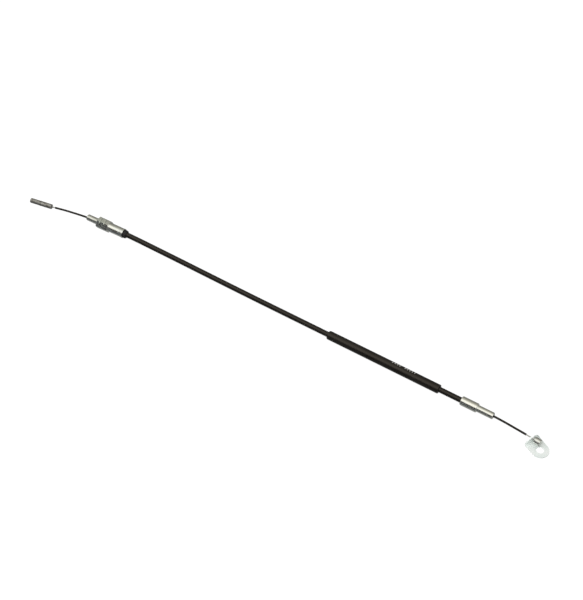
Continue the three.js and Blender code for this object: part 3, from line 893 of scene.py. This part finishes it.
# Pale ink marks are rolled onto the sleeve's upper side. They are plain bars of one size in two
# short rows, thin as paint and bent round the tube.
MARK_LENGTH = 1.0
MARK_PITCH = 2.3
MARK_THICKNESS = 0.025
MARK_LOW_ANGLE = math.radians(96)
MARK_HIGH_ANGLE = math.radians(124)
FIRST_ROW_X = 326.2
FIRST_ROW_MARKS = 4
SECOND_ROW_X = 338.2
SECOND_ROW_MARKS = 5
mark_starts = [FIRST_ROW_X + MARK_PITCH * i for i in range(FIRST_ROW_MARKS)]
mark_starts += [SECOND_ROW_X + MARK_PITCH * i for i in range(SECOND_ROW_MARKS)]
mark_corners = []
mark_faces = []
mark_steps = 8
for mark_start in mark_starts:
    first = len(mark_corners)
    for step in range(mark_steps + 1):
        angle = MARK_LOW_ANGLE + (MARK_HIGH_ANGLE - MARK_LOW_ANGLE) * step / mark_steps
        for way, radius in (
            (mark_start, SLEEVE_RADIUS - 0.01),
            (mark_start, SLEEVE_RADIUS + MARK_THICKNESS),
            (mark_start + MARK_LENGTH, SLEEVE_RADIUS + MARK_THICKNESS),
            (mark_start + MARK_LENGTH, SLEEVE_RADIUS - 0.01),
        ):
            height = CONDUIT_HEIGHT + radius * math.sin(angle)
            mark_corners.append(in_frame((way, -radius * math.cos(angle), height)))
    for step in range(mark_steps):
        here = first + 4 * step
        for j in range(4):
            k = (j + 1) % 4
            mark_faces.append((here + j, here + k, here + 4 + k, here + 4 + j))
    mark_faces.append((first, first + 1, first + 2, first + 3))
    last = first + 4 * mark_steps
    mark_faces.append((last, last + 1, last + 2, last + 3))
sleeve_marks = solid("sleeve_marks", mark_corners, mark_faces, 40)
mark_ink, ink_tree, ink_shader = new_finish("mark_ink", {"Specular IOR Level": 0.3})
ink_tone = speckle(ink_tree, 0.5, (1, 1, 1), 5)
ink_tree.links.new(
    shades(ink_tree, ink_tone, [(0.30, (0.22, 0.21, 0.19)), (0.60, (0.46, 0.45, 0.42))]),
    ink_shader.inputs["Base Color"],
)
ink_tree.links.new(spread(ink_tree, ink_tone, 0.5, 0.7), ink_shader.inputs["Roughness"])
dress(sleeve_marks, mark_ink, "conduit", "sleeve_black")


# The ferrule is turned from steel in two steps and zinc plated. Its wide end is pressed onto the
# conduit and its narrow end sits in the bracket's hole.
FERRULE_STEP_X = 408.1
FERRULE_BIG_RADIUS = 4
FERRULE_SMALL_RADIUS = 2.95
FERRULE_CHAMFER = 0.5
FERRULE_BORE_RADIUS = 1.6
FERRULE_SOCKET_X = 405.1
ferrule_section = stepped(eased([
    (FERRULE_START_X, SOCKET_RADIUS),
    (FERRULE_START_X, FERRULE_BIG_RADIUS - FERRULE_CHAMFER),
    (FERRULE_START_X + FERRULE_CHAMFER, FERRULE_BIG_RADIUS),
    (FERRULE_STEP_X - FERRULE_CHAMFER, FERRULE_BIG_RADIUS),
    (FERRULE_STEP_X, FERRULE_BIG_RADIUS - FERRULE_CHAMFER),
    (FERRULE_STEP_X, FERRULE_SMALL_RADIUS),
    (FERRULE_END_X - FERRULE_CHAMFER, FERRULE_SMALL_RADIUS),
    (FERRULE_END_X, FERRULE_SMALL_RADIUS - FERRULE_CHAMFER),
    (FERRULE_END_X, FERRULE_BORE_RADIUS),
    (FERRULE_SOCKET_X, FERRULE_BORE_RADIUS),
    (FERRULE_SOCKET_X, SOCKET_RADIUS),
], 0.15), 0.8)
ferrule_rings = turned(conduit_point(0, 0), sleeve_axis, ferrule_section, 64)
stepped_ferrule = skin("stepped_ferrule", ferrule_rings, True)
ferrule_zinc = zinc_plate("ferrule_zinc", [
    (0.30, (0.66, 0.67, 0.62)),
    (0.50, (0.77, 0.76, 0.70)),
    (0.66, (0.70, 0.71, 0.67)),
    (0.78, (0.68, 0.60, 0.51)),
], (0.14, 0.26), 7)
dress(stepped_ferrule, ferrule_zinc, "conduit", "plated_steel", "rear_ferrule")


# The nipple is a small zinc button cast or pressed onto the wire's rear end. It bears on the
# tab's ear from behind and passes the wire's pull to it.
NIPPLE_RADIUS = 2.9
NIPPLE_CHAMFER = 0.35
NIPPLE_WALL = 1.2
nipple_section = [
    (NIPPLE_LENGTH - NIPPLE_WALL, 0),
    (NIPPLE_LENGTH - NIPPLE_WALL, END_BORE_RADIUS),
    (0, END_BORE_RADIUS),
    *eased([
        (0, END_BORE_RADIUS + 0.3),
        (0, NIPPLE_RADIUS - NIPPLE_CHAMFER),
        (NIPPLE_CHAMFER, NIPPLE_RADIUS),
        (NIPPLE_LENGTH - NIPPLE_CHAMFER, NIPPLE_RADIUS),
        (NIPPLE_LENGTH, NIPPLE_RADIUS - NIPPLE_CHAMFER),
        (NIPPLE_LENGTH, 0.6),
    ], 0.2)[5:-5],
    (NIPPLE_LENGTH, 0.9),
    (NIPPLE_LENGTH - 0.08, 0.6),
    (NIPPLE_LENGTH - 0.1, 0),
]
nipple_start = ear_place + NIPPLE_STANDOFF * wire_end_axis
end_nipple = skin("end_nipple", turned(nipple_start, wire_end_axis, nipple_section, 40), True)
nipple_zinc = zinc_plate("nipple_zinc", [
    (0.30, (0.56, 0.57, 0.54)),
    (0.60, (0.74, 0.75, 0.71)),
], (0.26, 0.40), 2)
dress(end_nipple, nipple_zinc, "pull_wire", "nipple_zinc", "rear_nipple")


# The eyelet tab is stamped from plated steel strip: an oval blank with a round eye, folded up at
# a right angle into an ear whose slot lets the wire in. It swivels about the wire.
TAB_THICKNESS = 1.2
TAB_HALF_WIDTH = 7.5
TAB_EYE_RADIUS = 3.25
TAB_EYE_REACH = 10.5
TAB_BEND_RADIUS = 0.8
TAB_EAR_HEIGHT = 7.2
TAB_SLOT_WIDTH = 2.2
TAB_YAW = math.radians(-26)
tab_half = TAB_THICKNESS / 2
tab_middle_bend = TAB_BEND_RADIUS + tab_half
tab_bend_start = tab_half + TAB_BEND_RADIUS
tab_bend_height = TAB_BEND_RADIUS + TAB_THICKNESS
tab_bend_end = tab_bend_start - tab_middle_bend * math.pi / 2
tab_ear_end = tab_bend_end - (TAB_EAR_HEIGHT - tab_bend_height)
tab_slot_end = tab_bend_end - (NIPPLE_HEIGHT - tab_bend_height)


def arc(centre, radius, start, end, steps):
    """Points of an arc in the blank's plane, its angles in degrees."""
    turns = np.radians(np.linspace(start, end, steps + 1))
    return [(centre + radius * math.cos(t), radius * math.sin(t)) for t in turns]


def folded(way, aside, level):
    """A point of the flat blank, where it is once the ear has been folded up."""
    turn = min(max((tab_bend_start - way) / tab_middle_bend, 0), math.pi / 2)
    radius = tab_middle_bend - level
    beyond = max(way - tab_bend_start, 0)
    up = max(tab_bend_end - way, 0)
    return np.array((
        tab_bend_start - radius * math.sin(turn) + beyond,
        aside,
        tab_bend_height - radius * math.cos(turn) + up,
    ))


slot_lip = math.degrees(math.asin(TAB_SLOT_WIDTH / 2 / TAB_HALF_WIDTH))
ear_centre = tab_ear_end + TAB_HALF_WIDTH
tab_outline = [
    *arc(TAB_EYE_REACH, TAB_HALF_WIDTH, -90, 90, 48),
    *arc(ear_centre, TAB_HALF_WIDTH, 90, 180 - slot_lip, 22),
    *arc(tab_slot_end, TAB_SLOT_WIDTH / 2, 90, -90, 14),
    *arc(ear_centre, TAB_HALF_WIDTH, 180 + slot_lip, 270, 22),
]
tab_eye = arc(TAB_EYE_REACH, TAB_EYE_RADIUS, 0, 352.5, 47)
blank = bmesh.new()
for loop in (tab_outline, tab_eye):
    corners = [blank.verts.new((way, aside, 0)) for way, aside in loop]
    for corner, following in zip(corners, [*corners[1:], corners[0]]):
        blank.edges.new((corner, following))
bmesh.ops.triangle_fill(blank, edges=blank.edges, use_beauty=True)
for cut in np.linspace(tab_bend_end, tab_bend_start, 13):
    everything = [*blank.verts, *blank.edges, *blank.faces]
    bmesh.ops.bisect_plane(blank, geom=everything, plane_co=(cut, 0, 0), plane_no=(1, 0, 0), dist=1e-5)
blank.verts.index_update()
tab_corners = []
for level in (-tab_half, tab_half):
    for corner in blank.verts:
        way, aside, height = folded(corner.co.x, corner.co.y, level)
        turned_way = way * math.cos(TAB_YAW) - aside * math.sin(TAB_YAW)
        turned_aside = way * math.sin(TAB_YAW) + aside * math.cos(TAB_YAW)
        tab_corners.append(in_frame((ear_place[0] + turned_way, ear_place[1] + turned_aside, height)))
below = len(blank.verts)
tab_faces = []
for face in blank.faces:
    numbers = [corner.index for corner in face.verts]
    tab_faces.append(numbers[::-1])
    tab_faces.append([number + below for number in numbers])
for edge in blank.edges:
    if len(edge.link_faces) == 1:
        here, after = (corner.index for corner in edge.verts)
        tab_faces.append((here, after, after + below, here + below))
blank.free()
folded_tab = solid("folded_tab", tab_corners, tab_faces, 30)
rounding = folded_tab.modifiers.new("rounded_edges", "BEVEL")
rounding.width = 0.16 * MM
rounding.segments = 3
rounding.limit_method = "ANGLE"
rounding.angle_limit = math.radians(40)
rounding.harden_normals = False
folded_tab.modifiers.move(1, 0)
tab_plate, tab_tree, tab_shader = new_finish("tab_plate", {"Metallic": 0.15})
tab_tone = speckle(tab_tree, 5, (1, 1, 1), 3)
tab_tree.links.new(
    shades(tab_tree, tab_tone, [
        (0.30, (0.83, 0.89, 0.86)),
        (0.50, (0.89, 0.94, 0.91)),
        (0.70, (0.92, 0.94, 0.92)),
    ]),
    tab_shader.inputs["Base Color"],
)
tab_wear = speckle(tab_tree, 0.9, (1, 1, 1), 5)
tab_tree.links.new(spread(tab_tree, tab_wear, 0.26, 0.44), tab_shader.inputs["Roughness"])
relief(tab_tree, tab_shader, tab_wear, 0.02)
dress(folded_tab, tab_plate, "tab", "tab_plate", "eyelet_tab")
